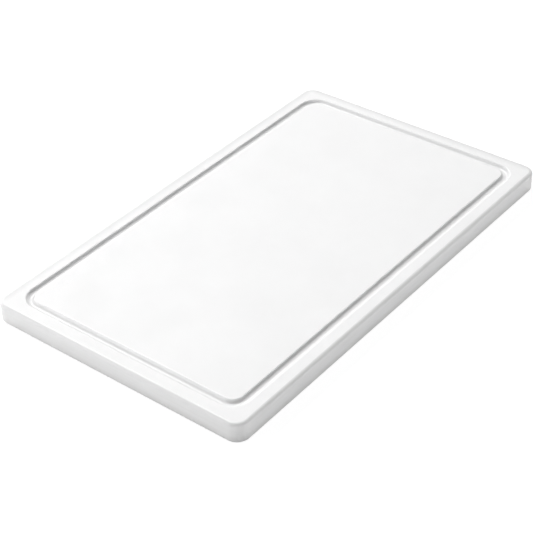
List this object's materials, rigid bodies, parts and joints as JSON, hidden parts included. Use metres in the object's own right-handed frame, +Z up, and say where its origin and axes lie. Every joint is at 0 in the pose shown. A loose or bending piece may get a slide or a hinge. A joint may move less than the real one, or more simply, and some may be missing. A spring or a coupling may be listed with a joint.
{
  "type": "cutting board with juice groove",
  "caption": "Rectangular white plastic cutting board with rounded corners and edges and a juice groove milled round its top face.",
  "frame": {"origin": "middle of the underside, on the surface that the board lies on", "axes": "+X along the board, +Y across it, +Z up through the grooved top face"},
  "size_m": [0.5, 0.3, 0.022],
  "materials": {
    "board": "satin white polyethylene with a fine grain"
  },
  "bodies": {
    "root": {"board": "board"}
  },
  "joints": []
}
